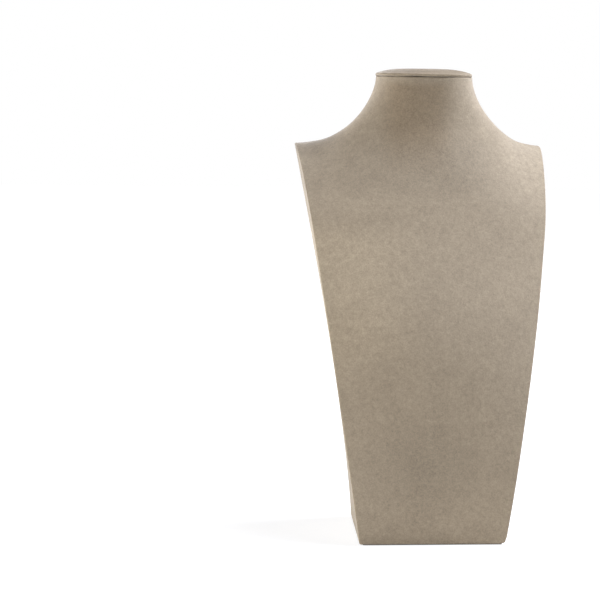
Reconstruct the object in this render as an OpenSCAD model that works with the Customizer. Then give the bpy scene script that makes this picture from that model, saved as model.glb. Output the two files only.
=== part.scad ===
// Necklace stand: a bust-shaped display stand covered in suede cloth, with a padded cap on its neck.
// The front of the stand faces -Y. The origin lies at the middle of the underside.

/* [Stand] */
// Height from the surface below to the crown of the cap
stand_h = 401; // [380:1:460]
// Width of the front face at the bottom
base_w = 125; // [100:1:150]
// Width of the back at the bottom
base_back_w = 107.5; // [90:0.5:124]
// Depth from the back to the front face at the bottom
base_d = 127; // [110:1:150]
// Width across the tips of the shoulders
shoulder_w = 220; // [190:1:250]
// Height of the shoulder tips
shoulder_z = 333.5; // [310:0.5:345]
// Thickness of the stand at the shoulder tips
tip_t = 3.4; // [2.8:0.2:6]

/* [Front face] */
// Outward bow of the side edges of the front face at mid height
side_bow = 1.1; // [0:0.1:6]
// How far the side edges of the chest lie behind its middle
chest_bulge = 14; // [4:0.5:20]
// Height at which the front face starts to bulge
bulge_start_z = 30; // [10:1:80]
// Height at which the front face has its full bulge
bulge_full_z = 180; // [130:1:230]
// Height at which the middle of the front face starts to lean back
lean_start_z = 100; // [60:1:150]
// Height at which the middle of the front face has its full lean
lean_full_z = 233; // [190:1:260]
// Height at which the throat starts to turn upright
throat_start_z = 322; // [290:1:335]
// Height at which the throat is upright
throat_end_z = 380; // [355:1:384]
// Height below the shoulder tips at which the front face starts to roll back towards them
shoulder_roll_h = 82; // [60:1:110]
// How hollow the side edges of the back are: 1 is straight
back_power = 1.28; // [1:0.02:1.4]

/* [Neck] */
// Width of the neck below the cap
neck_w = 84.3; // [70:0.1:110]
// Depth of the neck below the cap
neck_d = 57; // [40:1:70]
// Width of the flat strip at the back of the neck
neck_flat_w = 28; // [24:1:40]
// Roundness of the shoulder line next to the shoulder tips
shoulder_power = 1.95; // [1.8:0.05:2.6]
// Roundness of the shoulder line next to the neck
neck_power = 1.63; // [1.3:0.01:2]
// Length over which the shoulder line comes forward from the tip to the neck
shoulder_run = 50; // [40:1:64]

/* [Cap] */
// How far the cap stands out from the front and the sides of the neck
cap_overhang = 0.5; // [0.3:0.1:4]
// Thickness of the board in the cap
cap_board_t = 1.6; // [1.2:0.2:6]
// Height of the padding at the middle of the cap
cap_crown = 4.6; // [1:0.2:8]

/* [Cover] */
// Thickness of the suede cloth
cloth_t = 0.8; // [0.6:0.1:1.4]
// Width of the cloth turned onto the back
back_turn = 6.5; // [6:0.5:8]
// Width of the cloth turned under the bottom edge
hem_turn = 8; // [6:1:14]
// Width of the cloth turned in over the top of the neck and under the cap
rim_turn = 5; // [3:0.5:8]
// Gap at the seam between the front cover and the back cover
seam_gap = 0.3; // [0.2:0.1:0.6]

/* [Inner parts] */
// Thickness of the moulded shell
wall_t = 4; // [3:0.5:5]
// Thickness of the back board
back_board_t = 4; // [3:0.5:6]
// Thickness of the bottom board
base_board_t = 6; // [3:0.5:12]
// Gap round a board in the shell
board_gap = 0.2; // [0.1:0.1:0.5]
// Thickness of the felt pad on the underside
felt_t = 1.5; // [1:0.1:3]
// Distance from the edge of the stand to the edge of the felt pad
felt_inset = 3; // [2:0.5:10]

/* [Hidden] */

suede_colour = [0.62, 0.57, 0.50];
shell_colour = [0.85, 0.84, 0.80];
board_colour = [0.72, 0.58, 0.42];
foam_colour = [0.90, 0.88, 0.78];
felt_colour = [0.25, 0.24, 0.23];

// Divisions of the surfaces
torso_steps = 16;
neck_steps = 20;
front_steps = 24;
side_steps = 6;
dome_steps = 6;
bead_steps = 4;

// Heights of the layers, from the bottom and from the top
cover_z = felt_t;
shell_z = felt_t + cloth_t;
cap_top_z = stand_h;
padding_top_z = cap_top_z - cloth_t;
board_top_z = padding_top_z - cap_crown;
board_z = board_top_z - cap_board_t;
cap_z = board_z - cloth_t;
shell_top_z = cap_z - cloth_t;

// Distance of the inner surfaces from the outside of the cloth
shell_in = cloth_t;
cavity_in = cloth_t + wall_t;

// Slope of the leaning part of the front face, and how much further up the face of an inner
// surface is read, for each millimetre that it lies inside, so that the wall keeps its thickness
lean = (base_d - neck_d) / ((throat_start_z + throat_end_z - lean_start_z - lean_full_z) / 2);
lean_shift = tan(atan(lean) / 2);
// How far down the shoulder tips of an inner surface lie, for each millimetre that it lies inside
tip_shift = 1.3;
// How evenly the front face rolls back towards the shoulder line: 2 is a circle
roll_power = 3;
// Least width of the flat at the back of an inner oval, as a share of its half width
least_flat = 0.25;
// How much lower a line round the shoulders runs at the middle of the front than at its ends
line_drop = 40;
line_drop_start_z = 180;
// Angle up to which the edge of the cap is rounded, and angle at which its dome ends in a flat
bead_end = 30;
dome_end = 84;

function mix(a, b, t) = a + (b - a) * t;
function limit(t) = max(0, min(1, t));
function ease(t) = let (x = limit(t)) x * x * (3 - 2 * x);

// The height gained past a start, where the gain sets in softly between the start and the end
function eased_run(z, start, end) = let (x = limit((z - start) / (end - start)))
    (end - start) * (pow(x, 3) - pow(x, 4) / 2) + max(0, z - end);

// Place a point by its distance across, its distance forward of the back, and its height
function spot(across, forward, z) = [across, base_d / 2 - forward, z];

// Half width of the front face at a height below the shoulder tips
function front_half(z) = let (s = z / shoulder_z)
    mix(base_w, shoulder_w, s) / 2 + side_bow * 4 * s * (1 - s);

// Half width of the back at a height below the shoulder tips
function back_half(z) = let (s = limit(z / shoulder_z))
    mix(base_back_w, shoulder_w, pow(s, back_power)) / 2;

// Distance from the back to the middle of the front face: upright, leaning, upright at the throat
function middle_depth(z) = base_d
    - lean * (eased_run(z, lean_start_z, lean_full_z) - eased_run(z, throat_start_z, throat_end_z));

// Distance from the back to the front face before it rolls back towards the shoulders
function face_depth(x, z, d) = middle_depth(z + lean_shift * d) - d
    - chest_bulge * ease((z - bulge_start_z) / (bulge_full_z - bulge_start_z)) * pow(x / front_half(z), 2);

// Half width and height of the shoulder tips of a surface that lies the distance d inside the cloth
function tip_z(d) = shoulder_z - tip_shift * d;
function tip_half(d) = front_half(tip_z(d)) - d;
function neck_half(d) = neck_w / 2 - d;

// Distance from the back to the shoulder line, which is thin at the tips and mid depth at the neck
function line_depth(x, d) = mix(tip_t + d, neck_d / 2, ease((tip_half(d) - abs(x)) / shoulder_run));

// How far inside the shoulder line a point of the front lies: 0 on it, and 1 where the roll starts.
// The line is a curve of two powers through the tips and the top of the neck.
function roll_share(x, z, d, top) = let (
        out = max(0, tip_half(d) - abs(x)) / (tip_half(d) - neck_half(d)),
        down = max(0, top - z) / (top - tip_z(d)),
        neck_reach = pow(tip_half(d) / (tip_half(d) - neck_half(d)), shoulder_power) - 1,
        roll_reach = pow(1 + shoulder_roll_h / (top - tip_z(d)), neck_power) - 1)
    limit((pow(out, shoulder_power) + pow(down, neck_power) - 1) / mix(neck_reach, roll_reach, ease(down)));

// Distance from the back to the front surface that lies the distance d inside the cloth
function front_depth(x, z, d, top) = mix(line_depth(x, d), face_depth(x, z, d),
    sqrt(1 - pow(1 - roll_share(x, z, d, top), roll_power)));

// A line round the stand: half width, height at its ends, height at the middle of the front,
// half width of the flat back, distance of the flat back, roundness of the sides from 0 to 1,
// distance inside the cloth, and top of the surface it lies in.
function torso_line(z, d, top) = [front_half(z) - d, z,
    z - line_drop * ease((z - line_drop_start_z) / (shoulder_z - line_drop_start_z)),
    back_half(z) - d, d, 0, d, top];

// The same for the shoulders and the neck, at an angle from 0 at the tips to 90 at the top
function neck_line(angle, d, top) = let (
        tip = torso_line(tip_z(d), d, top),
        flat_half = max(neck_flat_w / 2 - d, least_flat * neck_half(d)),
        across = mix(tip[0], neck_half(d), pow(sin(angle), 2 / shoulder_power)),
        share = ease((tip[0] - across) / (tip[0] - neck_half(d))))
    [across, mix(top, tip[1], pow(max(0, cos(angle)), 2 / neck_power)),
     mix(tip[2], top, pow(sin(angle), 2)),
     across - mix(tip[0] - tip[3], neck_half(d) - flat_half, share), d, share, d, top];

// A point of the front face, at an angle from -90 at the left edge to 90 at the right edge
function front_point(line, angle) = let (
        x = line[0] * sin(angle),
        z = mix(line[2], line[1], pow(sin(angle), 2)))
    spot(x, front_depth(x, z, line[6], line[7]), z);

// A point of a side, at an angle from 0 at the front face to 90 at the flat back
function side_point(line, hand, angle) = let (
        edge_depth = front_depth(line[0], line[1], line[6], line[7]),
        power = 2 / (1 + line[5]))
    spot(hand * mix(line[3], line[0], pow(max(0, cos(angle)), power)),
         mix(edge_depth, line[4], pow(sin(angle), power)), line[1]);

// The points of a line from the left end of the flat back, round the front, to the right end
function line_points(line) = concat(
    [for (i = [side_steps:-1:1]) side_point(line, -1, 90 * i / side_steps)],
    [for (i = [0:front_steps]) front_point(line, 180 * i / front_steps - 90)],
    [for (i = [1:side_steps]) side_point(line, 1, 90 * i / side_steps)]);

// The lines of a surface, closer together at the shoulder tips
function lines(d, bottom, top) = concat(
    [for (i = [0:torso_steps - 1])
        torso_line(mix(bottom, tip_z(d), sin(90 * i / torso_steps)), d, top)],
    [for (i = [0:neck_steps]) neck_line(90 * i / neck_steps, d, top)]);

function surface_rows(d, bottom, top) = [for (line = lines(d, bottom, top)) line_points(line)];

// The same points, all at one height or flat
function at_height(row, z) = [for (p = row) [p[0], p[1], z]];
function flat(row) = [for (p = row) [p[0], p[1]]];

// One more point at each end of a row of points, on the flat back and nearer its middle
function with_turn(row, turn) =
    concat([row[0] + [turn, 0, 0]], row, [row[len(row) - 1] - [turn, 0, 0]]);

// An inner row that ends right behind the turned ends of an outer row
function with_ends(row, outer) = let (
        last = len(outer) - 1,
        z = max(shell_z, min(shell_top_z, outer[0][2])))
    concat([[outer[0][0], row[0][1], z]], row, [[outer[last][0], row[0][1], z]]);

function reversed(list) = [for (i = [len(list) - 1:-1:0]) list[i]];

// The walls of a solid made of closed rows, each of n points, one above the other. Past a point,
// and before a row, the four-sided faces are split the other way, as those that they lie on are.
function walls(rows, n, from_point, before_row) = [for (k = [0:rows - 2], i = [0:n - 1])
    let (j = (i + 1) % n, a = k * n, b = a + n)
        each (i >= from_point || k < before_row)
            ? [[a + i, b + i, a + j], [b + i, b + j, a + j]]
            : [[a + i, b + i, b + j], [a + i, b + j, a + j]]];

// A solid between an outer and an inner sheet of rows, open at the back, the bottom and the top
module open_shell(outer, inner) {
    n = len(outer[0]);
    rows = len(outer);
    top = (rows - 1) * 2 * n;
    points = [for (k = [0:rows - 1]) each concat(outer[k], reversed(inner[k]))];
    ends = [for (i = [0:n - 2]) let (o = 2 * n - 1 - i)
        each [[i, i + 1, o - 1], [i, o - 1, o],
              [top + i, top + o - 1, top + i + 1], [top + i, top + o, top + o - 1]]];
    polyhedron(points, concat(walls(rows, 2 * n, n, 0), ends), convexity = 8);
}

// A solid made of closed rows, one after the other, with a flat face at each end
module stack(rows, before_row = 0) {
    n = len(rows[0]);
    last = (len(rows) - 1) * n;
    ends = [[for (i = [0:n - 1]) i], [for (i = [n - 1:-1:0]) last + i]];
    polyhedron([for (row = rows) each row],
        concat(walls(len(rows), n, n, before_row), ends), convexity = 8);
}

// The outline of the flat back of a surface, seen from the front, set in by a distance
function back_outline(d, bottom, top, inset) = let (
        right = [for (line = lines(d, bottom, top)) [line[3] - inset, line[1]]])
    concat(right, [for (p = reversed(right)) [-p[0], p[1]]]);

// A plate that stands in the flat back, at a distance forward of the outside of the back
module back_plate(from, thickness)
    translate([0, base_d / 2 - from, 0])
        rotate([90, 0, 0])
            linear_extrude(thickness)
                children();

// Moulded front of the stand, open at the back, the bottom and the top
module front_shell() color(shell_colour)
    open_shell(surface_rows(shell_in, shell_z, shell_top_z), surface_rows(cavity_in, shell_z, shell_top_z));

// Flat board that closes the back of the shell
module back_board() color(board_colour)
    back_plate(shell_in, back_board_t)
        polygon(back_outline(cavity_in, shell_z, shell_top_z, board_gap));

// Flat board that closes the bottom of the shell, in front of the back board
module base_board() color(board_colour) {
    edge = line_points(torso_line(shell_z, cavity_in + board_gap, shell_top_z));
    board_back = base_d / 2 - shell_in - back_board_t - board_gap;
    translate([0, 0, shell_z])
        linear_extrude(base_board_t)
            intersection() {
                polygon(flat(edge));
                translate([-base_w, board_back - 2 * base_d])
                    square([2 * base_w, 2 * base_d]);
            }
}

// Suede over the front, the sides and the neck, turned in at its top, its bottom and the back
module front_cover() color(suede_colour) {
    hem = line_points(torso_line(cover_z, hem_turn, cap_z));
    rim = line_points(neck_line(90, rim_turn, cap_z));
    outer = [for (row = surface_rows(0, cover_z, cap_z)) with_turn(row, back_turn)];
    behind = surface_rows(shell_in, shell_z, shell_top_z);
    inner = [for (k = [0:len(behind) - 1]) with_ends(behind[k], outer[k])];
    open_shell(concat([with_turn(at_height(hem, cover_z), cloth_t)], outer,
                      [with_turn(at_height(rim, cap_z), cloth_t)]),
               concat([with_turn(at_height(hem, shell_z), cloth_t)], inner,
                      [with_turn(at_height(rim, shell_top_z), cloth_t)]));
}

// Suede over the back, between the turned edges of the front cover and below its shoulder line
module back_cover() color(suede_colour)
    back_plate(0, cloth_t)
        intersection() {
            polygon(back_outline(0, cover_z, cap_z, back_turn + seam_gap));
            polygon(back_outline(shell_in, cover_z, cap_z, seam_gap));
        }

// Felt on the underside, set in from the edge
module felt_pad() color(felt_colour)
    linear_extrude(felt_t)
        polygon(flat(line_points(torso_line(0, felt_inset, cap_z))));

// The oval of the cap, set in by a distance from its outside, and flush with the back of the neck
function cap_row(inset, z) = let (line = neck_line(90, inset - cap_overhang, cap_z))
    at_height(line_points([for (i = [0:len(line) - 1]) i == 4 ? inset : line[i]]), z);

// How far a row of the dome is set in from the edge, and how high it stands, by its angle
function dome_inset(angle) = (neck_d / 2) * (1 - cos(angle));
function dome_height(angle) = cap_crown * sin(angle) / sin(dome_end);

// Oval board under the padding
module cap_board() color(board_colour)
    translate([0, 0, board_z])
        linear_extrude(cap_board_t)
            polygon(flat(cap_row(cloth_t, board_z)));

// The rows of the top of the padding
function dome_rows() = [for (i = [0:dome_steps]) let (a = dome_end * i / dome_steps)
    cap_row(cloth_t + dome_inset(a), board_top_z + dome_height(a))];

// Domed foam on the board
module cap_padding() color(foam_colour)
    stack(dome_rows());

// Suede over the cap, rounded at its edge and turned in below
module cap_cover() color(suede_colour) {
    bead = (cap_board_t + 2 * cloth_t) / 2;
    inner = concat([cap_row(rim_turn, board_z), cap_row(cloth_t, board_z)], dome_rows());
    outer = concat(
        [cap_row(rim_turn, cap_z)],
        [for (i = [0:bead_steps]) let (a = mix(-90, bead_end, i / bead_steps))
            cap_row(bead * (1 - cos(a)), cap_z + bead * (1 + sin(a)))],
        [for (i = [1:dome_steps]) let (a = dome_end * i / dome_steps)
            cap_row(cloth_t * (1 - cos(a)) + dome_inset(a), board_top_z + cloth_t + dome_height(a))]);
    stack(concat(reversed(inner), outer), len(inner) - 1);
}

front_shell();
back_board();
base_board();
front_cover();
back_cover();
cap_board();
cap_padding();
cap_cover();
felt_pad();
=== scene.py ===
"""Necklace stand: a bust-shaped display stand dressed in suede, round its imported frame."""
import math
from collections import namedtuple
from functools import cached_property

import bpy
import numpy as np
from bpy.props import FloatProperty, FloatVectorProperty, PointerProperty
from mathutils import Matrix, Vector


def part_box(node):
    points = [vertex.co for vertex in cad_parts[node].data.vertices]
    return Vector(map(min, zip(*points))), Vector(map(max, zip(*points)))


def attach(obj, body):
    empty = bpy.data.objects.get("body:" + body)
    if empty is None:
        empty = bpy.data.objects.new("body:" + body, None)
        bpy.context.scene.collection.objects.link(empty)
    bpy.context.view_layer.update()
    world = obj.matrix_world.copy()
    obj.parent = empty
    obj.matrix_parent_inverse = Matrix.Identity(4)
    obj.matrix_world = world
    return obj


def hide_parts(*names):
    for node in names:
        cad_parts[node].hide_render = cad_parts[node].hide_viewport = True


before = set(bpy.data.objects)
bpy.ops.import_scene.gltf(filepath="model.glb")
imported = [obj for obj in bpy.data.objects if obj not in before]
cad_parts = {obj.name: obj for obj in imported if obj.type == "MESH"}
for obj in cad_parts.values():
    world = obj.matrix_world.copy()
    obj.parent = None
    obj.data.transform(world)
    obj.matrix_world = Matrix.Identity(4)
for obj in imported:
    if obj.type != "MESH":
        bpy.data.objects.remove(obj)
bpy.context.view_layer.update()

bl_info = {
    "name": "Necklace Stand",
    "version": (1, 0, 0),
    "blender": (4, 5, 0),
    "location": "View3D > Sidebar > Necklace Stand",
    "description": "Dresses the frame of a bust-shaped necklace stand in suede",
    "category": "Add Mesh",
}

# Surface rows: half width, height at the ends, height at the middle of the front,
# half width of the flat back, roundness of the sides from 0 to 1, distance inside the cloth
Rows = namedtuple("Rows", "half end middle flat round inside")


def size(description, default):
    """A length that the user can change."""
    return FloatProperty(description=description, default=default, min=0.0, unit="LENGTH")


def power(description, default):
    """A plain number that bends a curve."""
    return FloatProperty(description=description, default=default, min=0.5)


def colour(description, *default):
    """A colour that the user can change."""
    return FloatVectorProperty(
        description=description, default=(*default, 1.0), size=4, min=0.0, max=1.0, subtype="COLOR"
    )


class StandSizes(bpy.types.PropertyGroup):
    """Sizes of the stand, of its cloth and of the cap."""

    base_width: size("Width of the front face at the bottom", 0.125)
    base_back_width: size("Width of the back at the bottom", 0.1075)
    base_depth: size("Depth from the back to the front face at the bottom", 0.127)
    shoulder_width: size("Width across the tips of the shoulders", 0.220)
    shoulder_height: size("Height of the shoulder tips", 0.3335)
    tip_thickness: size("Thickness at the shoulder tips", 0.0034)
    side_bow: size("Outward bow of the side edges of the front face", 0.0011)
    chest_bulge: size("How far the side edges lie behind the middle of the chest", 0.014)
    bulge_start: size("Height at which the front face starts to bulge", 0.030)
    bulge_full: size("Height at which the front face has its full bulge", 0.180)
    lean_start: size("Height at which the front face starts to lean back", 0.100)
    lean_full: size("Height at which the front face has its full lean", 0.233)
    throat_start: size("Height at which the throat starts to turn upright", 0.322)
    throat_end: size("Height at which the throat is upright", 0.380)
    shoulder_roll: size("Height below the tips at which the face rolls back", 0.082)
    back_hollow: power("How hollow the side edges of the back are: 1 is straight", 1.28)
    neck_width: size("Width of the neck below the cap", 0.0843)
    neck_depth: size("Depth of the neck below the cap", 0.057)
    neck_flat: size("Width of the flat strip at the back of the neck", 0.028)
    shoulder_power: power("Roundness of the shoulder line at the tips", 1.95)
    neck_power: power("Roundness of the shoulder line at the neck", 1.63)
    shoulder_run: size("Length over which the shoulder line comes forward", 0.050)
    edge_radius: size("Rounding of the cloth over the upright edges", 0.0013)
    hem_radius: size("Rounding of the cloth at the bottom edge", 0.0014)
    hem_droop: size("How far the cloth's bottom edge hangs below the board", 0.0005)
    rim_radius: size("Rounding of the cloth over the top of the neck", 0.0008)
    tip_radius: size("Rounding of the cloth at the shoulder tips", 0.0013)
    back_turn: size("Width of the cloth turned onto the back", 0.0065)
    hem_turn: size("Width of the cloth turned under the bottom edge", 0.008)
    rim_turn: size("Width of the cloth turned in at the cap", 0.005)
    seam_gap: size("Gap between the front cloth and the back cloth", 0.0004)
    cloth_thickness: size("Thickness of the suede cloth", 0.0008)
    wall: size("Thickness of the moulded shell", 0.004)
    cap_overhang: size("How far the cap stands out from the neck", 0.0005)
    cap_edge: size("Height of the rounded edge of the cap", 0.0038)
    shoulder_tuck: size("How far the cloth pulls the right shoulder tip in", 0.0018)
    corner_tuck: size("How far the cloth pulls the right bottom corner in", 0.0030)
    felt_inset: size("Distance from the edge of the stand to the felt", 0.003)


class StandColours(bpy.types.PropertyGroup):
    """Colours of the stand's materials."""

    suede: colour("Colour of the suede cloth", 0.325, 0.260, 0.181)
    suede_pale: colour("Colour of suede brushed up against its nap", 0.362, 0.292, 0.205)
    shell: colour("Colour of the moulded shell", 0.70, 0.67, 0.60)
    board: colour("Colour of the fibreboard", 0.46, 0.30, 0.15)
    foam: colour("Colour of the foam in the cap", 0.78, 0.72, 0.52)
    felt: colour("Colour of the felt on the underside", 0.075, 0.070, 0.064)
    floor: colour("Colour of the floor", 0.88, 0.86, 0.82)


join = np.concatenate

# ---- shape of the stand

MIRROR = np.array([-1.0, 1.0, 1.0])
TIP_SHIFT = 1.3  # how far down the tips of an inner surface lie for each unit that it lies inside
ROLL_POWER = 3  # how evenly the front face rolls back towards the shoulder line
LEAST_FLAT = 0.25  # least flat at the back of an oval, as a share of its half width
ROW_DROP = 0.040  # how far the rows across the torso hang in the middle below the shoulders, and
ROW_DROP_START = 0.180  # the height at which that sets in
CORNER_MOST = 0.3  # the most of the side's length that a rounded corner takes
THIN_EDGE = 0.0004  # rounding of the hidden edges of the shell and of the ovals of the cap

TUCK_HEIGHT = 0.075  # height above and below the shoulder tip over which the tuck fades
TIP_LIFT = 0.0011  # how far the cloth at the shoulder tips stands up
TIP_LIFT_OUT = (0.081, 0.099)  # distances from the middle at which that is none and full
TIP_LIFT_UP = (0.285, 0.330)  # heights at which it is none and full

SEAM_LIFT = 0.0008  # how far the cap's seam lies above the ends of the cloth turned in there
SEAM_CLOSE = 0.0009  # the last part of the turned cloth, over which both cloths come together
RIM_DIP_HEIGHT = 0.006  # height over which the rim of the neck follows the gap at the seam
RIM_DIP_SHARE = 0.10  # share of the gap by which the front cloth lies lower, and
CAP_DIP_SHARE = 0.90  # by which the cap's cloth lies higher
GAP_LEFT, GAP_RIGHT = 0.00028, 0.00013  # the plain gap in each half of the front, and
GAP_CHANGE = (-0.010, 0.006)  # the places between which it goes over
GAP_WAVE, GAP_TURNS = 0.00004, 320.0  # height of the wave along the gap, radians for each metre
GAP_BELLS = ((0.00042, -0.0125, 0.0085), (0.00020, 0.0145, 0.0060))  # each height, place, reach
GAP_BACK = 0.2  # share of the gap that is left on the back, and
GAP_FADE = (0.045, 0.059)  # the places between which it closes


def mix(a, b, t):
    """a less t times a, plus t times b."""
    return a + (b - a) * t


def limit(t):
    """t, kept between 0 and 1."""
    return np.clip(t, 0.0, 1.0)


def ease(t, start=0.0, end=1.0):
    """3 x squared less 2 x cubed, where x is the share of the way from start to end."""
    x = limit((t - start) / (end - start))
    return x * x * (3 - 2 * x)


def quarter_turn(steps):
    """Angles from 0 to a right angle in even steps."""
    return np.linspace(0, math.pi / 2, steps + 1)


def eased_run(z, start, end):
    """Height gained past start, where the gain sets in softly until end: x cubed less half x to the
    fourth, times the run, and after it the plain height."""
    x = limit((z - start) / (end - start))
    return (end - start) * (x**3 - x**4 / 2) + np.maximum(0, z - end)


def front_half(s, z):
    """Half width of the front face: a straight taper and a bow of one parabola."""
    share = z / s.shoulder_height
    return mix(s.base_width, s.shoulder_width, share) / 2 + s.side_bow * 4 * share * (1 - share)


def back_half(s, z):
    """Half width of the back: a taper on a power of the height."""
    share = limit(z / s.shoulder_height)
    return mix(s.base_back_width, s.shoulder_width, share**s.back_hollow) / 2


def tip_height(s, inside):
    """Height of the shoulder tips: it falls by a fixed share of the distance inside."""
    return s.shoulder_height - TIP_SHIFT * inside


def tip_half(s, inside):
    """Half width at the shoulder tips, less the distance inside."""
    return front_half(s, tip_height(s, inside)) - inside


def neck_half(s, inside):
    """Half width of the neck, less the distance inside."""
    return s.neck_width / 2 - inside


def front_depth(s, x, z, inside, top):
    """Distance of the front surface from the back. The face is upright, leans back and is upright
    again, less a bulge that grows with the square of x. It rolls back to the depth of the shoulder
    line by the root of 1 less a power of the share that is still to go, and that share comes from
    two powers, of the distance from the tip and of the distance below the top of the neck."""
    x = np.abs(x)
    drop = (s.throat_start + s.throat_end - s.lean_start - s.lean_full) / 2
    lean = (s.base_depth - s.neck_depth) / drop
    up = z + inside * math.tan(math.atan(lean) / 2)
    face = s.base_depth - lean * (
        eased_run(up, s.lean_start, s.lean_full) - eased_run(up, s.throat_start, s.throat_end)
    )
    bulge = s.chest_bulge * ease(z, s.bulge_start, s.bulge_full)
    face = face - inside - bulge * (x / front_half(s, z)) ** 2
    tip, neck, tip_z = tip_half(s, inside), neck_half(s, inside), tip_height(s, inside)
    line = mix(s.tip_thickness + inside, s.neck_depth / 2, ease((tip - x) / s.shoulder_run))
    out = np.maximum(0, tip - x) / (tip - neck)
    down = np.maximum(0, top - z) / (top - tip_z)
    neck_reach = (tip / (tip - neck)) ** s.shoulder_power - 1
    roll_reach = (1 + s.shoulder_roll / (top - tip_z)) ** s.neck_power - 1
    share = limit(
        (out**s.shoulder_power + down**s.neck_power - 1) / mix(neck_reach, roll_reach, ease(down))
    )
    return mix(line, face, np.sqrt(1 - (1 - share) ** ROLL_POWER))


def torso_rows(s, z, inside):
    """Rows across the torso at the heights z, whose middle hangs by an eased share of ROW_DROP."""
    z, inside = np.broadcast_arrays(z, inside)
    drop = ROW_DROP * ease(z, ROW_DROP_START, s.shoulder_height)
    return Rows(front_half(s, z) - inside, z, z - drop, back_half(s, z) - inside, 0 * z, inside)


def neck_rows(s, turn, inside, top):
    """Rows of the shoulders and the neck, at a turn from 0 at the tips to a right angle at the top.
    Their ends follow the curve of two powers."""
    turn, inside = np.broadcast_arrays(turn, inside)
    tip = torso_rows(s, tip_height(s, inside), inside)
    half = mix(tip.half, neck_half(s, inside), np.sin(turn) ** (2 / s.shoulder_power))
    rise = 1 - np.maximum(0, np.cos(turn)) ** (2 / s.neck_power)
    share = ease(half, tip.half, neck_half(s, inside))
    flat_half = np.maximum(s.neck_flat / 2 - inside, LEAST_FLAT * neck_half(s, inside))
    flat = half - mix(tip.half - tip.flat, neck_half(s, inside) - flat_half, share)
    part = turn / (math.pi / 2)
    middle = mix(tip.middle, top, mix(part, rise, ease(part)))
    return Rows(half, mix(tip.end, top, rise), middle, flat, share, inside)


def turn_at(s, z, top):
    """The turn at which the shoulder line has the height z: its cosine is a power of the share of
    the way down from the top to the tips."""
    below = limit((top - z) / (top - s.shoulder_height))
    return np.arccos(below ** (s.neck_power / 2))


def rows_of(*parts):
    """Rows one above the other."""
    return Rows(*(join([np.atleast_1d(field) for field in same]) for same in zip(*parts)))


def placed(s, across, forward, z):
    """Points in the stand's frame, from distances across and forward of the back, and heights."""
    across, forward, z = np.broadcast_arrays(across, forward, z)
    return np.stack([across, s.base_depth / 2 - forward, z], axis=-1)


def bent(a, b, c, steps):
    """Points inside a corner: the quadratic curve from a to c with its handle at b."""
    t = np.linspace(0, 1, steps + 2)[1:-1].reshape(1, -1, 1)
    a, b, c = (p[:, None, :] for p in (a, b, c))
    return a * (1 - t) ** 2 + 2 * b * t * (1 - t) + c * t**2


def half_sections(s, rows, top, edge, steps):
    """The right half of each row, from the middle of the front, round a corner of radius edge,
    along the side and round a second corner to the flat back. The side goes from the front edge to
    the back on a power of the cosine and the sine of an angle: straight on the torso, an ellipse at
    the neck."""
    half, end, middle, flat, round_, inside = (field[:, None] for field in rows)
    edge_depth = front_depth(s, half, end, inside, top)
    run = np.hypot(half - flat, edge_depth - inside)
    near = np.minimum(edge * (1 - round_), CORNER_MOST * run)
    reach = half - near
    x = reach * np.sin(quarter_turn(steps.front))
    z = mix(middle, end, (x / half) ** 2)
    front = placed(s, x, front_depth(s, x, z, inside, top), z)
    bend = 2 / (1 + round_)
    first = np.arcsin(np.sqrt(limit(near / run)))
    last = np.arccos(np.sqrt(limit(near / run)))
    t = mix(first, last, np.linspace(0, 1, steps.side + 1))
    across = mix(flat, half, np.maximum(0, np.cos(t)) ** bend)
    side = placed(s, across, mix(edge_depth, inside, np.sin(t) ** bend), end)
    corner = placed(s, half, edge_depth, end)[:, 0]
    back_corner = placed(s, flat, inside, end)[:, 0]
    back_end = placed(s, flat - edge, inside, end)
    to_side = bent(front[:, -1], corner, side[:, 0], steps.corner)
    to_back = bent(side[:, -1], back_corner, back_end[:, 0], steps.corner)
    return join([front, to_side, side, to_back, back_end], axis=1)


def whole(half):
    """Both halves of each row: the mirrored half, reversed and without its middle, and the half."""
    return join([half[:, :0:-1] * MIRROR, half], axis=1)


def looped(half):
    """Closed rings: the half, then its mirrored points, reversed, without the two in the middle."""
    return join([half, half[:, -2:0:-1] * MIRROR], axis=1)


def settled(s, points):
    """The hand-glued cloth pulls the right shoulder tip and the right bottom corner in. Within the
    width of the turned cloth, points move in by an eased share of the tuck at their height: at the
    shoulder one that fades with the height, at the corner a quarter circle. Both shoulder tips rise
    by an eased share of TIP_LIFT, which fades inwards and downwards."""
    x, z = points[..., 0], points[..., 2]
    edge = front_half(s, np.minimum(z, s.shoulder_height))
    near = ease(x, edge - s.back_turn, edge)
    shoulder = s.shoulder_tuck * (1 - ease(np.abs(z - s.shoulder_height) / TUCK_HEIGHT))
    short = limit(1 - (z - s.cloth_z) / s.corner_tuck)
    corner = s.corner_tuck * (1 - np.sqrt(1 - short**2))
    moved = points.copy()
    moved[..., 0] -= near * (shoulder + corner)
    moved[..., 2] += TIP_LIFT * ease(np.abs(x), *TIP_LIFT_OUT) * ease(z, *TIP_LIFT_UP)
    return moved


def gap_dip(x, y):
    """How far the cloths on both sides of the cap's seam draw apart: a plain gap, wider in the left
    half, with a sine wave and two bells where the glue has let go. On the back it all but shuts."""
    gap = mix(GAP_LEFT, GAP_RIGHT, ease(x, *GAP_CHANGE)) + GAP_WAVE * np.sin(x * GAP_TURNS)
    for height, place, reach in GAP_BELLS:
        gap = gap + height * np.exp(-(((x - place) / reach) ** 2))
    return gap * mix(1.0, GAP_BACK, ease(y, *GAP_FADE))


def raise_rim(s, grid, share):
    """Lifts the top of a cloth to the cap's seam, less the dip of the gap, by an eased share of its
    height within RIM_DIP_HEIGHT."""
    near = ease(grid[..., 2], s.cap_z - RIM_DIP_HEIGHT, s.cap_z)
    lift = SEAM_LIFT - RIM_DIP_SHARE * gap_dip(grid[..., 0], grid[..., 1])
    grid[..., 2] += lift * near * share


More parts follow.
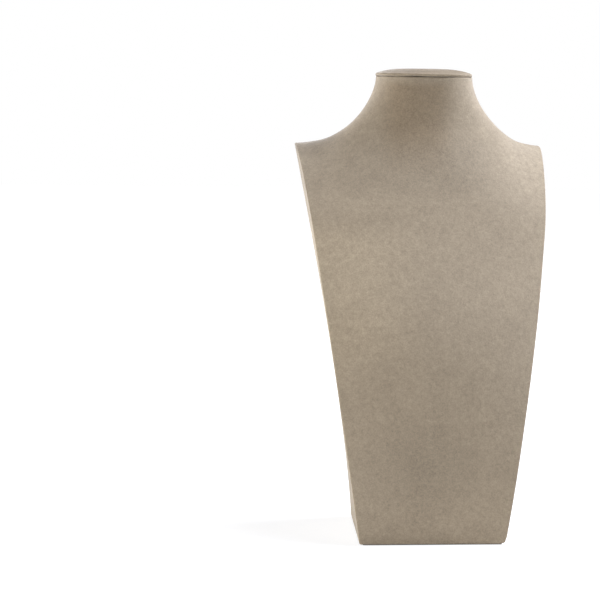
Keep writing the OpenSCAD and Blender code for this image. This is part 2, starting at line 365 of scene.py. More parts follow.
def edge_roll(distance):
    """How far a cloth rolls in at a distance from its cut edge: a parabola over ROLL_WIDTH."""
    return ROLL_DEPTH * limit(1 - distance / ROLL_WIDTH) ** 2


# ---- meshes


def grid_faces(rows, columns, closed):
    """Four-sided faces of a grid of points, row by row."""
    last = columns if closed else columns - 1
    k, i = np.meshgrid(np.arange(rows - 1), np.arange(last), indexing="ij")
    j = (i + 1) % columns
    a, b = k * columns, (k + 1) * columns
    return np.stack([a + i, a + j, b + j, b + i], axis=-1).reshape(-1, 4)


def closed_faces(levels, count, solid=True):
    """Faces of closed rings one above the other, and of the fans that close them: for a solid from
    the first ring to a point below it, and always from the last ring to a point above it. The
    points follow the rings in this order."""
    i = np.arange(count)
    j = (i + 1) % count
    last, pole = (levels - 1) * count, levels * count
    faces = grid_faces(levels, count, True).tolist()
    if solid:
        faces += np.stack([j, i, np.full(count, pole)], axis=-1).tolist()
        pole += 1
    return faces + np.stack([last + i, last + j, np.full(count, pole)], axis=-1).tolist()


def new_object(name, data):
    """A new object in the scene."""
    made = bpy.data.objects.new(name, data)
    bpy.context.scene.collection.objects.link(made)
    return made


def new_piece(name, points, faces, material, node):
    """A mesh object from whole arrays, smooth shaded, which rides on the stand in node's place."""
    points = np.asarray(points, float).reshape(-1, 3)
    mesh = bpy.data.meshes.new(name)
    mesh.from_pydata(points.tolist(), [], [list(f) for f in faces])
    mesh.polygons.foreach_set("use_smooth", np.ones(len(mesh.polygons), bool))
    mesh.update()
    mesh.materials.append(material)
    piece = new_object(name, mesh)
    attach(piece, "root")
    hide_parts(node)
    return piece


def thicken(piece, thickness):
    """Gives a sheet its thickness, inwards from its outer side."""
    solid = piece.modifiers.new("Thickness", "SOLIDIFY")
    solid.thickness = thickness
    solid.offset = -1.0
    solid.use_even_offset = False


# ---- materials


class Nodes:
    """The node tree of a material or a world, with short ways to add to it."""

    def __init__(self, owner, output):
        owner.use_nodes = True
        self.tree = owner.node_tree
        self.tree.nodes.clear()
        self.output = self.add(output)

    @cached_property
    def place(self):
        return self.add("ShaderNodeTexCoord").outputs["Object"]

    def add(self, kind, inputs=None, **values):
        node = self.tree.nodes.new(kind)
        for key, value in values.items():
            setattr(node, key, value)
        for key, value in (inputs or {}).items():
            if isinstance(value, bpy.types.NodeSocket):
                self.tree.links.new(value, node.inputs[key])
            else:
                node.inputs[key].default_value = value
        return node

    def noise(self, scale, detail=3.0, roughness=0.5, stretch=(1.0, 1.0, 1.0)):
        place = self.add("ShaderNodeMapping", {"Vector": self.place, "Scale": stretch}).outputs[0]
        inputs = {"Vector": place, "Scale": scale, "Detail": detail, "Roughness": roughness}
        return self.add("ShaderNodeTexNoise", inputs).outputs["Fac"]

    def ranged(self, value, low, high, to_low=0.0, to_high=1.0, way="LINEAR"):
        inputs = {"Value": value, "From Min": low, "From Max": high}
        inputs.update({"To Min": to_low, "To Max": to_high})
        return self.add("ShaderNodeMapRange", inputs, interpolation_type=way).outputs["Result"]

    def share(self, value, none, full):
        """Eases from 0 where the value is none to 1 where it is full."""
        return self.ranged(value, none, full, way="SMOOTHSTEP")

    def maths(self, operation, a, b=0.0):
        return self.add("ShaderNodeMath", {0: a, 1: b}, operation=operation).outputs[0]

    def product(self, first, *rest):
        for value in rest:
            first = self.maths("MULTIPLY", first, value)
        return first

    def blended(self, factor, a, b, way="MIX"):
        node = self.add("ShaderNodeMix", data_type="RGBA", blend_type=way)
        sockets = {s.identifier: s for s in node.inputs}
        for key, value in (("Factor_Float", factor), ("A_Color", a), ("B_Color", b)):
            if isinstance(value, bpy.types.NodeSocket):
                self.tree.links.new(value, sockets[key])
            else:
                sockets[key].default_value = value
        return next(o for o in node.outputs if o.identifier == "Result_Color")

    def bump(self, height, distance, strength=1.0, normal=None):
        inputs = {"Height": height, "Distance": distance, "Strength": strength}
        if normal is not None:
            inputs["Normal"] = normal
        return self.add("ShaderNodeBump", inputs).outputs["Normal"]

    def finish(self, **inputs):
        named = {key.replace("_", " "): value for key, value in inputs.items()}
        self.surface(self.add("ShaderNodeBsdfPrincipled", named).outputs[0])

    def surface(self, shader):
        self.tree.links.new(shader, self.output.inputs["Surface"])


WHITE = (1.0, 1.0, 1.0, 1.0)
# Round places on the front that look darker: the first three where the nap is pressed down, the
# last painted shade on the right below the throat; for each the place, its reach, how dark it looks
PRESSED_AND_PAINTED_SHADE = (
    ((-0.0135, -0.0635, 0.067), 0.017, 0.95),
    ((0.009, -0.0635, 0.006), 0.012, 0.93),
    ((-0.008, -0.0635, 0.066), 0.060, 0.89),
    ((0.025, -0.003, 0.325), 0.040, 0.94),
)
# The right shoulder, where the nap is ruffled by handling: the place and its reach
RUFFLED = ((0.082, 0.035, 0.312), 0.052)
SHOULDER_SLOPE, SHOULDER_END = 0.45, -0.096  # slope of the painted shade along the left shoulder's top edge, and where it ends
THROAT_MIDDLE = 0.010  # how far left the middle of the painted shade on the throat lies


def near_share(n, place, reach):
    """1 within a fifth of the reach from a place, easing to 0 at its reach."""
    far = n.add("ShaderNodeVectorMath", {0: n.place, 1: place}, operation="DISTANCE")
    return n.share(far.outputs["Value"], reach, 0.2 * reach)


def painted_light_and_shade(n):
    """Painted light and shade on the cloth: for each place, the colour that the cloth is multiplied
    by and the ramps along the axes whose product is its share."""
    x, y, z = n.add("ShaderNodeSeparateXYZ", {0: n.place}).outputs
    aside = n.maths("ABSOLUTE", n.maths("ADD", x, THROAT_MIDDLE))
    slope = n.product(n.maths("MAXIMUM", x, SHOULDER_END), SHOULDER_SLOPE)
    throat = (n.share(z, 0.300, 0.352), n.share(z, 0.3925, 0.384))
    throat += (n.share(aside, 0.038, 0.014), n.share(y, 0.045, 0.030))
    crown = (n.share(z, 0.3946, 0.3987),)
    crown += (n.ranged(x, -0.030, 0.026, 1.0, 0.76), n.ranged(x, 0.024, 0.040, 1.0, 0.60))
    shoulder = (n.share(n.maths("SUBTRACT", z, slope), 0.3620, 0.3785), n.share(x, -0.060, -0.086))
    flank = (n.share(z, 0.125, 0.185), n.share(z, 0.277, 0.252), n.share(x, 0.0, -0.062))
    collar = (n.share(z, 0.285, 0.302), n.share(z, 0.348, 0.328), n.share(x, 0.066, 0.040))
    return (
        ((0.83, 0.79, 0.74, 1.0), throat),  # painted shade on the front of the neck
        ((0.45, 0.405, 0.33, 1.0), crown),  # painted shade on the crown of the cap, less at its right end
        ((0.68, 0.665, 0.64, 1.0), shoulder),  # painted shade along the top edge of the left shoulder
        ((1.17, 1.17, 1.16, 1.0), flank),  # painted light on the left of the chest
        ((0.90, 0.90, 0.90, 1.0), collar),  # painted shade in a band below the throat
    )


def suede_material(n, c):
    """Short-napped suede: a fine grain of fibres, soft patches where the pile lies the other way,
    and a sheen at grazing angles, with painted light and shade at some places of the front and the
    cap."""
    clouds = n.ranged(n.noise(24.0, 3.0, 0.55, (0.8, 1.0, 1.1)), 0.34, 0.66)
    patches = n.noise(90.0, 3.0, 0.55)
    flecks = n.noise(270.0, 3.0, 0.6)
    grain = n.noise(760.0, 2.0, 0.6)
    fibres = n.noise(1600.0, 2.0, 0.6, (1.0, 1.0, 0.6))
    base = n.blended(n.ranged(clouds, 0.0, 1.0, 0.2, 0.8), tuple(c.suede), tuple(c.suede_pale))
    shade = n.ranged(patches, 0.3, 0.7, 0.955, 1.045)
    for value, spread in ((flecks, 0.09), (grain, 0.115), (fibres, 0.07)):
        shade = n.maths("ADD", shade, n.ranged(value, 0.3, 0.7, -spread, spread))
    ruffles = n.ranged(n.noise(230.0, 2.0, 0.55), 0.36, 0.64, -0.11, 0.09)
    shade = n.maths("ADD", shade, n.product(ruffles, near_share(n, *RUFFLED)))
    # Darker round places: pressed nap, and painted shade at the last one
    for place, reach, flat in PRESSED_AND_PAINTED_SHADE:
        near = near_share(n, place, reach)
        shade = n.product(shade, n.ranged(near, 0.0, 1.0, 1.0, flat))
    dark = n.add("ShaderNodeCombineColor", {0: shade, 1: shade, 2: shade}).outputs[0]
    tinted = n.blended(1.0, base, dark, "MULTIPLY")
    # Painted light and shade: each colour multiplies the cloth where its ramps meet
    for painted_tint, ramps in painted_light_and_shade(n):
        tinted = n.blended(1.0, tinted, n.blended(n.product(*ramps), WHITE, painted_tint), "MULTIPLY")
    pile = n.maths("ADD", n.product(patches, 0.6), n.product(flecks, 0.25))
    soft = n.bump(pile, 0.0011, 0.35)
    height = n.maths("ADD", n.product(grain, 0.6), n.product(fibres, 0.4))
    n.finish(
        Base_Color=tinted,
        Roughness=n.ranged(clouds, 0.0, 1.0, 0.80, 0.90),
        Specular_IOR_Level=0.2,
        Sheen_Weight=0.3,
        Sheen_Roughness=0.5,
        Sheen_Tint=(1.0, 0.97, 0.93, 1.0),
        Normal=n.bump(height, 0.00035, 0.4, soft),
    )


def toned(colour, factor):
    """A colour times a factor, at most 1."""
    return (*(min(1.0, x * factor) for x in colour[:3]), 1.0)


def shell_material(n, c):
    """Moulded plastic: pale, faintly mottled, with a fine orange-peel skin."""
    tone = n.blended(n.noise(30.0), tuple(c.shell), toned(c.shell, 0.9))
    n.finish(Base_Color=tone, Roughness=0.55, Normal=n.bump(n.noise(900.0), 0.0002, 0.4))


def board_material(n, c):
    """Fibreboard: brown with short pressed fibres."""
    fibres = n.noise(420.0, 5.0, 0.7, (1.0, 1.0, 0.35))
    tone = n.blended(n.ranged(fibres, 0.35, 0.65), tuple(c.board), toned(c.board, 0.72))
    n.finish(Base_Color=tone, Roughness=0.85, Normal=n.bump(fibres, 0.0002, 0.5))


def foam_material(n, c):
    """Foam: pale, with small open cells."""
    cells = n.add("ShaderNodeTexVoronoi", {"Vector": n.place, "Scale": 900.0}).outputs["Distance"]
    tone = n.blended(n.ranged(cells, 0.1, 0.6), toned(c.foam, 0.75), tuple(c.foam))
    n.finish(Base_Color=tone, Roughness=0.95, Normal=n.bump(cells, 0.0004, 0.7))


def felt_material(n, c):
    """Pressed felt: dark, with matted fibres."""
    fibres = n.noise(1100.0, 5.0, 0.75)
    tone = n.blended(n.ranged(fibres, 0.3, 0.7), tuple(c.felt), toned(c.felt, 1.9))
    skin = n.bump(fibres, 0.0004, 0.8)
    n.finish(Base_Color=tone, Roughness=0.95, Sheen_Weight=0.3, Normal=skin)


def material(name, maker):
    """The material of that name, made once."""
    found = bpy.data.materials.get(name)
    if found is None:
        found = bpy.data.materials.new(name)
        maker(Nodes(found, "ShaderNodeOutputMaterial"), bpy.context.scene.stand_colours)
    return found


def suede():
    return material("taupe_suede", suede_material)


def fibreboard():
    return material("fibreboard", board_material)


# ---- the pieces

# How many faces a half row has along the front and the side and round each corner
Steps = namedtuple("Steps", "front side corner")
CLOTH_STEPS = Steps(front=56, side=14, corner=5)
SHELL_STEPS = Steps(front=32, side=10, corner=1)
CAP_STEPS = Steps(front=40, side=28, corner=1)
CAP_BACK_STEPS = 8
# How many rows of faces each surface has on the torso and on the shoulders and the neck
CLOTH_TORSO, CLOTH_NECK = 110, 75
SHELL_TORSO, SHELL_NECK = 55, 44
ARC_STEPS = 6  # rows round the hem and round the rim
LIP_STEPS = 4  # rows over which the turned hem comes down to the hem
BACK_STEPS = 24  # columns of each half of the back cloth
ROLL_WIDTH = 0.0013  # the part of a cut edge that rolls in
ROLL_DEPTH = 0.0006  # how far it rolls in
ROLL_STEPS = (0.0, 0.1, 0.3, 0.55, 1.0)  # where the lines of a rolled edge lie, as shares of it
FELT_RADIUS = 0.0005  # rounding of the felt's lower edge
FELT_RINGS = np.array([0.012, 0.004])  # how far inside its edge the rings of its flat sides lie
FELT_ARC_STEPS, FELT_SIDE_STEPS = 4, 12
TINY = 1e-9


def sizes():
    """The sizes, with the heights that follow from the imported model."""
    group = bpy.context.scene.stand_sizes
    values = {key: getattr(group, key) for key in StandSizes.__annotations__}
    values["cloth_z"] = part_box("front_cover")[0].z
    values["cap_z"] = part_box("front_cover")[1].z
    values["shell_low"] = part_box("front_shell")[0].z
    values["shell_top"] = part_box("front_shell")[1].z
    values["crown_z"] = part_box("cap_cover")[1].z
    return namedtuple("Sizes", values)(**values)


def cover_rows(s, inside):
    """The rows of the front cloth: the hem, its rounded edge, the torso, the shoulders and the
    neck, the rounded rim, the part turned in. A quarter circle cuts the ends below the shoulder
    tips. inside is how far each row's seam lies in from the edge of the back."""
    quarter = quarter_turn(ARC_STEPS)
    low = s.cloth_z - s.hem_droop
    tip = tip_height(s, inside)
    lip = np.linspace(0, 1, LIP_STEPS + 1)[:-1]
    under = [s.hem_turn, mix(s.hem_turn, s.felt_inset, 0.5)]
    hem_in = join([under, mix(s.felt_inset, s.hem_radius, lip)])
    hem_z = join([[s.cloth_z] * 2, mix(s.cloth_z, low, ease(lip))])
    arc_in = s.hem_radius * (1 - np.sin(quarter))[:-1]
    arc_z = low + s.hem_radius * (1 - np.cos(quarter))[:-1]
    torso_z = mix(low + s.hem_radius, tip, np.sin(quarter_turn(CLOTH_TORSO))[:-1])
    first = math.asin((s.tip_radius / (tip_half(s, 0) - neck_half(s, 0))) ** (s.shoulder_power / 2))
    last = turn_at(s, s.cap_z - s.rim_radius, s.cap_z)
    turns = mix(first, last, np.linspace(0, 1, CLOTH_NECK + 1))[:-1]
    rim_z = s.cap_z - s.rim_radius * (1 - np.sin(quarter))
    rim_in = s.rim_radius * (1 - np.cos(quarter))
    in_turn = np.linspace(s.rim_radius, s.rim_turn, 4)[1:]
    rows = rows_of(
        torso_rows(s, hem_z, hem_in + inside),
        torso_rows(s, arc_z, arc_in + inside),
        torso_rows(s, torso_z, inside),
        neck_rows(s, turns, inside, s.cap_z),
        neck_rows(s, turn_at(s, rim_z, s.cap_z), rim_in + inside, s.cap_z),
        neck_rows(s, math.pi / 2, in_turn + inside, s.cap_z),
    )
    rise = limit((rows.end - (tip - s.tip_radius)) / s.tip_radius)
    on_torso = np.arange(len(rows.end)) < len(hem_z) + len(arc_z) + len(torso_z)
    cut = np.where(on_torso, s.tip_radius * (1 - np.sqrt(1 - rise**2)), 0.0)
    return rows._replace(half=rows.half - cut, flat=rows.flat - cut)


class STAND_OT_front_cloth(bpy.types.Operator):
    """Suede over the front, the sides and the neck, turned in at its edges. Its rows follow the
    curves of the stand, and each goes from its seam on the back round the front to the other."""

    bl_idname = "stand.front_cloth"
    bl_label = "Front cloth"

    def execute(self, context):
        s = sizes()
        rows = cover_rows(s, 0.0)
        seam = cover_rows(s, s.back_turn)
        own = rows.inside[:, None]
        points = half_sections(s, rows, s.cap_z, s.edge_radius, CLOTH_STEPS)
        start = points[:, -1]
        goal = placed(s, seam.flat, rows.inside, seam.end)
        length = np.linalg.norm(goal - start, axis=1)[:, None]
        near = np.array(ROLL_STEPS[-2::-1]) * ROLL_WIDTH
        rolled = 1 - near / np.maximum(length, 4 * ROLL_WIDTH)
        part = join([np.full((len(own), 1), 0.5), rolled], axis=1)
        strip = mix(start[:, None], goal[:, None], part[:, :, None])
        strip[..., 1] -= edge_roll((1 - part) * length)
        grid = settled(s, whole(join([points, strip], axis=1)))
        raise_rim(s, grid, ease((s.rim_turn - own) / SEAM_CLOSE))
        faces = grid_faces(*grid.shape[:2], False)
        piece = new_piece("front_cloth", grid, faces, suede(), "front_cover")
        thicken(piece, s.cloth_thickness)
        return {"FINISHED"}


def shell_rows(s, inside):
    """The rows of one side of the shell, from its open bottom to its open top."""
    low, top = s.shell_low, s.shell_top
    torso_z = mix(low, tip_height(s, inside), np.sin(quarter_turn(SHELL_TORSO))[:-1])
    neck = neck_rows(s, quarter_turn(SHELL_NECK), inside, top)
    return rows_of(torso_rows(s, torso_z, inside), neck)


class STAND_OT_shell(bpy.types.Operator):
    """Moulded shell under the cloth. Its outer and its inner side follow the curves of the stand,
    one cloth and one wall further in, and four strips join them at the open edges."""

    bl_idname = "stand.shell"
    bl_label = "Shell"

    def execute(self, context):
        s = sizes()
        sides = []
        for inside in (s.cloth_thickness, s.cloth_thickness + s.wall):
            rows = shell_rows(s, inside)
            half = half_sections(s, rows, s.shell_top, THIN_EDGE, SHELL_STEPS)
            sides.append(settled(s, whole(half[:, : sum(SHELL_STEPS) + 2])))
        sides[1][:, [0, -1], 1] = sides[0][:, [0, -1], 1]
        rows, columns = sides[0].shape[:2]
        faces = grid_faces(rows, columns, False)
        number = np.arange(rows * columns).reshape(rows, columns)
        rim = join([number[0], number[1:, -1], number[-1, -2::-1], number[-2:0:-1, 0]])
        ahead = np.roll(rim, -1)
        strips = np.stack([ahead, rim, rim + number.size, ahead + number.size], axis=-1)
        faces = join([faces, faces[:, ::-1] + number.size, strips])
        plastic = material("moulded_shell", shell_material)
        new_piece("shell_moulding", np.stack(sides), faces, plastic, "front_shell")
        return {"FINISHED"}


class STAND_OT_back_cloth(bpy.types.Operator):
    """Suede over the flat back. Its rows are level lines between the seams, and its cut edges roll
    in on a parabola."""

    bl_idname = "stand.back_cloth"
    bl_label = "Back cloth"

    def execute(self, context):
        s = sizes()
        seam = cover_rows(s, s.back_turn + s.seam_gap)
        upright = (seam.inside <= s.back_turn + s.seam_gap + TINY) & (seam.end > s.cloth_z)
        half, z = np.maximum(seam.flat[upright], 3 * ROLL_WIDTH), seam.end[upright]
        ends = np.array(ROLL_STEPS) * ROLL_WIDTH
        between = (z > s.cloth_z + ROLL_WIDTH) & (z < s.cap_z - ROLL_WIDTH)
        z = join([s.cloth_z + ends[:-1], z[between], s.cap_z - ends[::-1]])
        foot, head = np.full(len(ends) - 1, half[0]), np.full(len(ends), half[-1])
        half = join([foot, half[between], head])
        plain = (half - ROLL_WIDTH)[:, None] * np.linspace(1, 0, BACK_STEPS + 1)[1:]
        across = join([half[:, None] - ends, plain], axis=1)[:, ::-1]
        z = z[:, None]
        edge = np.minimum(half[:, None] - across, np.minimum(z - s.cloth_z, s.cap_z - z))
        grid = settled(s, whole(placed(s, across, edge_roll(edge), z)))
        raise_rim(s, grid, 1.0)
        faces = grid_faces(*grid.shape[:2], False)[:, ::-1]
        piece = new_piece("back_cloth", grid, faces, suede(), "back_cover")
        thicken(piece, s.cloth_thickness)
        return {"FINISHED"}


CROWN_POWER = 4.0  # how flat the middle of the crown is
CROWN_RINGS = 25  # rings between the edge of the crown and its middle
CROWN_SPREAD = 0.8  # how evenly they lie: below 1 they come closer towards the edge
CAP_TRIM = 0.0006  # how much shorter the right half of the cap is
CAP_EDGE_REACH = 0.0012  # how far the rounded edge of the cap curves in above, and
CAP_LOW_REACH = 0.0020  # below
CAP_EDGE_TURN = 63  # angle above level at which the edge of the cap goes over into the crown
CAP_EDGE_RINGS = 17  # rings round that edge
CARD_LIFT = 0.0004  # how much higher than in the CAD model the top of the cap's card lies
CARD_CLEAR = 0.0006  # how far the card lies above the turned cloth, and
CARD_INSET = 0.0008  # inside the cloth at its edge
CARD_EDGE = 0.0001  # the rounding of its edges
FOAM_SHARE = (1.0 - 0.0012 / 0.042, 1.0 - 0.0012 / 0.028, 1.0)  # 1.2 mm inside the cap's cloth
PRESS_LIMIT = 0.0005  # the furthest that the simulation may move the crown
PRESSURE, PRESS_FRAMES = 4.0, 20


def trimmed(s, points):
    """Points of the cap, with its right half shorter by an eased share of CAP_TRIM."""
    points[..., 0] -= CAP_TRIM * ease(points[..., 0] / s.neck_width * 2)
    return points


def cap_ovals(s, out, z):
    """Ovals of the cap, each standing out from the neck by out, at the heights z. The back of each
    stays in line with the back of the neck."""
    rows = neck_rows(s, math.pi / 2, -out, s.cap_z)
    points = half_sections(s, rows, s.cap_z, THIN_EDGE, CAP_STEPS)
    points[..., 2] = z[:, None]
    points[..., 1] = np.minimum(points[..., 1], s.base_depth / 2)
    half = points[:, :-1]
    flat = np.linspace(1, 0, CAP_BACK_STEPS + 1)[1:, None]
    back = half[:, -1:] * join([flat, 0 * flat + 1, 0 * flat + 1], axis=1)
    return looped(join([half, back], axis=1))


class STAND_OT_cap(bpy.types.Operator):
    """Padded cap. Its cloth rolls round the edge in a part circle and rises to the crown by 1 less
    the fourth power of the share of the way from the middle. A cloth simulation, held at the edge,
    lets the padding press the crown out, and the foam lies right below it."""

    bl_idname = "stand.cap"
    bl_label = "Cap"

    def execute(self, context):
        s = sizes()
        radius = s.cap_edge / 2
        turned = np.linspace(s.rim_turn, CAP_LOW_REACH, 5)[:-1]
        angle = np.radians(np.linspace(-90, CAP_EDGE_TURN, CAP_EDGE_RINGS))
        reach = np.where(angle < 0, CAP_LOW_REACH, CAP_EDGE_REACH)
        out = s.cap_overhang - join([turned, reach * (1 - np.cos(angle))])
        z = s.cap_z + join([0 * turned, radius * (1 + np.sin(angle))])
        edge = cap_ovals(s, out, z)
        outer = ease((s.rim_turn + out - s.cap_overhang) / SEAM_CLOSE)[:, None]
        low = limit(1 - (z - s.cap_z) / (2 * radius))[:, None]
        apart = CAP_DIP_SHARE * gap_dip(edge[..., 0], edge[..., 1])
        edge[..., 2] += (SEAM_LIFT + apart) * low * outer
        rim = edge[-1]
        middle = np.array([0.0, (rim[:, 1].min() + rim[:, 1].max()) / 2, 0.0])
        share = np.cos(quarter_turn(CROWN_RINGS + 1)[1:-1, None]) ** CROWN_SPREAD
        flat = middle + (rim - middle) * np.array([1.0, 1.0, 0.0]) * share[:, :, None]
        flat[..., 2] = mix(rim[0, 2], s.crown_z, 1 - share**CROWN_POWER)
        dome = join([rim[None], flat])
        pole = np.array([[0.0, middle[1], s.crown_z]])
        points = pressed(join([dome.reshape(-1, 3), pole]), dome.shape, s.crown_z)
        rings = trimmed(s, join([edge[:-1].reshape(-1, 3), points[:-1]]))
        count = edge.shape[1]
        faces = closed_faces(len(rings) // count, count, solid=False)
        cover = join([rings, points[-1:]])
        piece = new_piece("cap_cloth", cover, faces, suede(), "cap_cover")
        thicken(piece, s.cloth_thickness)
        self.card(s)
        self.foam(s, points[:-1].reshape(dome.shape), points[-1])
        return {"FINISHED"}

    def card(self, s):
        """The board of the cap: an oval plate inside its cloth, with slightly rounded edges."""
        low = s.cap_z + SEAM_LIFT + s.cloth_thickness + CARD_CLEAR
        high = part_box("cap_board")[1].z + CARD_LIFT
        inset = s.cloth_thickness + CARD_INSET + np.array([CARD_EDGE, 0.0, 0.0, CARD_EDGE])
        z = np.array([low, low + CARD_EDGE, high - CARD_EDGE, high])
        rings = trimmed(s, cap_ovals(s, s.cap_overhang - inset, z))
        y = (rings[0, :, 1].min() + rings[0, :, 1].max()) / 2
        points = join([rings.reshape(-1, 3), [[0.0, y, low], [0.0, y, high]]])
        faces = closed_faces(*rings.shape[:2])
        new_piece("cap_card", points, faces, fibreboard(), "cap_board")

    def foam(self, s, dome, pole):
        """The foam pad: the pressed dome lowered by the cloth, with a rounded edge, and a flat
        underside on the board."""
        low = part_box("cap_padding")[0].z + CARD_LIFT
        middle = np.array([0.0, pole[1], 0.0])
        top = middle + (dome - middle) * FOAM_SHARE
        top[..., 2] = np.maximum(top[..., 2] - s.cloth_thickness, low + CARD_EDGE)
        base = top[:1].copy()
        base[..., 2] = low
        rings = join([base, top])
        centre = np.array([[0.0, pole[1], low], [0.0, pole[1], pole[2] - s.cloth_thickness]])
        points = join([rings.reshape(-1, 3), centre])
        cells = material("cap_foam_cells", foam_material)
        faces = closed_faces(*rings.shape[:2])
        pad = new_piece("cap_foam", points, faces, cells, "cap_padding")


def pressed(points, shape, top):
    """Lets the padding press the cap's cloth out: a cloth simulation with pressure, pinned at its
    edge, whose moves are kept within PRESS_LIMIT and below the crown's height."""
    mesh = bpy.data.meshes.new("press")
    mesh.from_pydata(points.tolist(), [], closed_faces(*shape[:2], solid=False))
    body = new_object("press", mesh)
    held = body.vertex_groups.new(name="edge")
    held.add(list(range(2 * shape[1])), 1.0, "REPLACE")
    cloth = body.modifiers.new("Cloth", "CLOTH")
    cloth.settings.use_pressure = True
    cloth.settings.uniform_pressure_force = PRESSURE
    cloth.settings.vertex_group_mass = "edge"
    cloth.settings.effector_weights.gravity = 0.0
    cloth.settings.quality = 6
    scene = bpy.context.scene
    for number in range(1, PRESS_FRAMES + 1):
        scene.frame_set(number)
    evaluated = body.evaluated_get(bpy.context.evaluated_depsgraph_get())
    found = np.zeros(len(points) * 3)
    evaluated.data.vertices.foreach_get("co", found)
    scene.frame_set(1)
    bpy.data.objects.remove(body)
    move = found.reshape(-1, 3) - points
    far = np.linalg.norm(move, axis=1, keepdims=True)
    moved = points + move * np.minimum(1.0, PRESS_LIMIT / np.maximum(far, TINY))
    moved[:, 2] = np.minimum(moved[:, 2], top)
    return moved


class STAND_OT_felt(bpy.types.Operator):
    """Felt on the underside: a plate with a rounded lower edge, set in from the edge of the stand.
    Each ring is a rectangle whose sides run in towards the back."""

    bl_idname = "stand.felt"
    bl_label = "Felt"

    def execute(self, context):
        s = sizes()
        low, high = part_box("felt_pad")
        quarter = quarter_turn(FELT_ARC_STEPS)
        arc_in = FELT_RADIUS * (1 - np.sin(quarter))
        arc_z = low.z + FELT_RADIUS * (1 - np.cos(quarter))
        inset = join([FELT_RINGS, arc_in, [0.0], FELT_RINGS[::-1]])[:, None]
        z = join([0 * FELT_RINGS + low.z, arc_z, [high.z], 0 * FELT_RINGS + high.z])
        front_x = (high.x - low.x) / 2 - inset
        back_x = front_x - (s.base_width - s.base_back_width) / 2
        front_y, back_y = low.y + inset, high.y - inset
        along = np.linspace(0, 1, FELT_SIDE_STEPS + 1)[None, :]
        x = [front_x * along[:, :-1], mix(front_x, back_x, along), back_x * (1 - along[:, 1:])]
        still = 0 * along[:, 1:]
        y = [front_y + still, mix(front_y, back_y, along), back_y + still]
        x, y = join(x, axis=1), join(y, axis=1)
        rings = looped(np.stack([x, y, z[:, None] + 0 * x], axis=-1))
        points = join([rings.reshape(-1, 3), [[0, 0, low.z], [0, 0, high.z]]])
        faces = closed_faces(*rings.shape[:2])
        felt = material("dark_felt", felt_material)
        pad = new_piece("felt_sheet", points, faces, felt, "felt_pad")
        return {"FINISHED"}


class STAND_OT_inner_parts(bpy.types.Operator):
    """Finishes of the boards under the cloth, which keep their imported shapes."""

    bl_idname = "stand.inner_parts"
    bl_label = "Inner parts"

    def execute(self, context):
        for node in ("back_board", "base_board"):
            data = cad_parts[node].data
            data.materials.clear()
            data.materials.append(fibreboard())
        return {"FINISHED"}


# ---- the stage

# The camera's place, in metres, and its turns, in degrees
CAMERA_PLACE = (-0.3032, -1.8397, 0.3890)
CAMERA_YAW = 6.0106
CAMERA_PITCH = 5.7867
CAMERA_ROLL = 0.8844
SENSOR_WIDTH = 36.0
CAMERA_LENS = 2164.3 / 600 * SENSOR_WIDTH
CAMERA_REACH = (0.05, 50.0)

FLOOR_HALF, FLOOR_Z = 6.0, -0.0001
FLOOR_SEEN = (0.36, 0.36, 0.36, 1.0)  # the lit part of the floor that the camera sees
FLOOR_GLOW = (0.35, 1.0, 0.78, 1.0)  # its glow: the first two are distances, the others strengths
AMBIENT, AMBIENT_STRENGTH = (1.0, 0.985, 0.96, 1.0), 0.012
LIGHT_AIM = (0.0, 0.0, 0.20)
COOL_WHITE = (0.932, 0.985, 1.115)
WARM_WHITE = (0.99, 0.995, 1.01)
# Square area lights, all aimed at one point: place, side, watts, colour
LIGHTS = {
    "right_light": ((1.543, 0.0, 2.039), 0.9, 75.0, COOL_WHITE),
    "top_light": ((0.621, 0.0, 2.518), 0.9, 38.0, COOL_WHITE),
    "right_fill": ((2.008, 0.538, 1.400), 0.9, 9.0, COOL_WHITE),
    "left_light": ((-2.283, -0.650, 0.617), 0.9, 33.0, WARM_WHITE),
    "left_fill": ((-2.007, -0.538, 1.400), 0.9, 3.0, WARM_WHITE),
    "left_rim": ((-1.946, 1.363, 0.534), 0.9, 44.0, COOL_WHITE),
}


def white_for_camera(n, lit, plain):
    """Shows the second shader to the camera and to clear or glossy rays, the first to the rest."""
    path = n.add("ShaderNodeLightPath").outputs
    seen = n.maths("MAXIMUM", path["Is Camera Ray"], path["Is Glossy Ray"])
    seen = n.maths("MAXIMUM", seen, path["Is Transmission Ray"])
    n.surface(n.add("ShaderNodeMixShader", {0: seen, 1: lit, 2: plain}).outputs[0])


def floor_material(n, c):
    """A white floor that keeps the stand's soft shadow: the camera sees it part lit and glowing."""
    lit = n.add("ShaderNodeBsdfDiffuse", {"Color": tuple(c.floor)}).outputs[0]
    seen = n.add("ShaderNodeBsdfDiffuse", {"Color": FLOOR_SEEN}).outputs[0]
    away = n.add("ShaderNodeVectorMath", {0: n.place}, operation="LENGTH").outputs["Value"]
    strength = n.ranged(away, *FLOOR_GLOW)
    glow = n.add("ShaderNodeEmission", {"Color": WHITE, "Strength": strength}).outputs[0]
    both = n.add("ShaderNodeAddShader", {0: seen, 1: glow}).outputs[0]
    white_for_camera(n, lit, both)


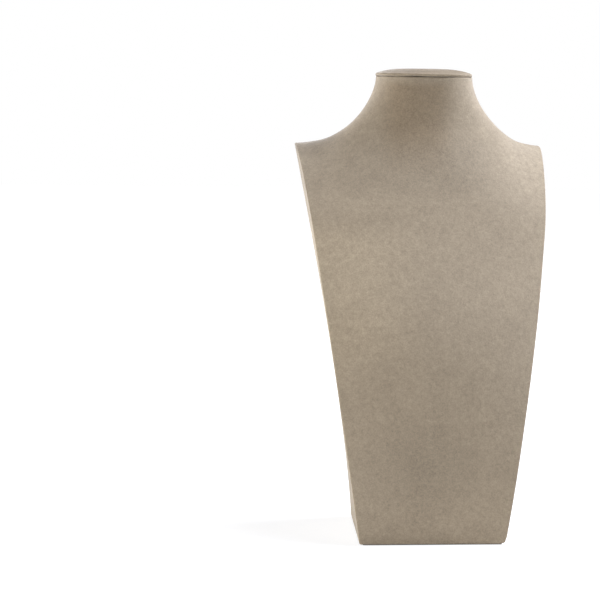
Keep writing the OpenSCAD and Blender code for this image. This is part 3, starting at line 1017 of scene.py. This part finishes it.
class STAND_OT_stage(bpy.types.Operator):
    """White floor, white surroundings, soft area lights and the camera."""

    bl_idname = "stand.stage"
    bl_label = "Stage"

    def execute(self, context):
        scene = context.scene
        mesh = bpy.data.meshes.new("floor")
        signs = ((-1, -1), (1, -1), (1, 1), (-1, 1))
        corners = [(x * FLOOR_HALF, y * FLOOR_HALF, FLOOR_Z) for x, y in signs]
        mesh.from_pydata(corners, [], [(0, 1, 2, 3)])
        mesh.materials.append(material("studio_floor", floor_material))
        new_object("floor", mesh)
        world = bpy.data.worlds.new("studio")
        scene.world = world
        n = Nodes(world, "ShaderNodeOutputWorld")
        ambient = {"Color": AMBIENT, "Strength": AMBIENT_STRENGTH}
        lit = n.add("ShaderNodeBackground", ambient).outputs[0]
        white_for_camera(n, lit, n.add("ShaderNodeBackground", {"Color": WHITE}).outputs[0])
        for name, (place, side, watts, tint) in LIGHTS.items():
            data = bpy.data.lights.new(name, "AREA")
            data.shape = "SQUARE"
            data.size, data.energy, data.color = side, watts, tint
            light = new_object(name, data)
            light.location = place
            ahead = Vector(LIGHT_AIM) - Vector(place)
            light.rotation_euler = ahead.to_track_quat("-Z", "Y").to_euler()
            light.visible_camera = False
        self.camera(scene)
        scene.view_settings.view_transform = "Standard"
        return {"FINISHED"}

    def camera(self, scene):
        """The camera, turned about the upright, then down, then about its own axis."""
        yaw, pitch, roll = (math.radians(a) for a in (CAMERA_YAW, CAMERA_PITCH, CAMERA_ROLL))
        turn = (
            Matrix.Rotation(-yaw, 4, "Z")
            @ Matrix.Rotation(math.pi / 2 - pitch, 4, "X")
            @ Matrix.Rotation(roll, 4, "Z")
        )
        data = bpy.data.cameras.new("camera")
        data.sensor_width = SENSOR_WIDTH
        data.lens = CAMERA_LENS
        data.clip_start, data.clip_end = CAMERA_REACH
        camera = new_object("camera", data)
        camera.matrix_world = Matrix.Translation(CAMERA_PLACE) @ turn
        scene.camera = camera


# ---- the add-on

PIECES = (
    STAND_OT_shell,
    STAND_OT_front_cloth,
    STAND_OT_back_cloth,
    STAND_OT_cap,
    STAND_OT_felt,
    STAND_OT_inner_parts,
    STAND_OT_stage,
)


class STAND_PT_panel(bpy.types.Panel):
    """Lists the pieces, the sizes and the colours of the stand."""

    bl_idname = "STAND_PT_panel"
    bl_label = "Necklace Stand"
    bl_space_type = "VIEW_3D"
    bl_region_type = "UI"
    bl_category = "Necklace Stand"

    def draw(self, context):
        column = self.layout.column()
        for piece in PIECES:
            column.operator(piece.bl_idname)
        for group in (context.scene.stand_sizes, context.scene.stand_colours):
            for key in type(group).__annotations__:
                column.prop(group, key, text=key.replace("_", " ").capitalize())


CLASSES = (StandSizes, StandColours, *PIECES, STAND_PT_panel)


def register():
    for cls in CLASSES:
        bpy.utils.register_class(cls)
    bpy.types.Scene.stand_sizes = PointerProperty(type=StandSizes)
    bpy.types.Scene.stand_colours = PointerProperty(type=StandColours)


def unregister():
    del bpy.types.Scene.stand_colours
    del bpy.types.Scene.stand_sizes
    for cls in reversed(CLASSES):
        bpy.utils.unregister_class(cls)


def main():
    """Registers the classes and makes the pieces."""
    register()
    bpy.ops.stand.shell()
    bpy.ops.stand.front_cloth()
    bpy.ops.stand.back_cloth()
    bpy.ops.stand.cap()
    bpy.ops.stand.felt()
    bpy.ops.stand.inner_parts()
    bpy.ops.stand.stage()


if __name__ == "__main__":
    main()
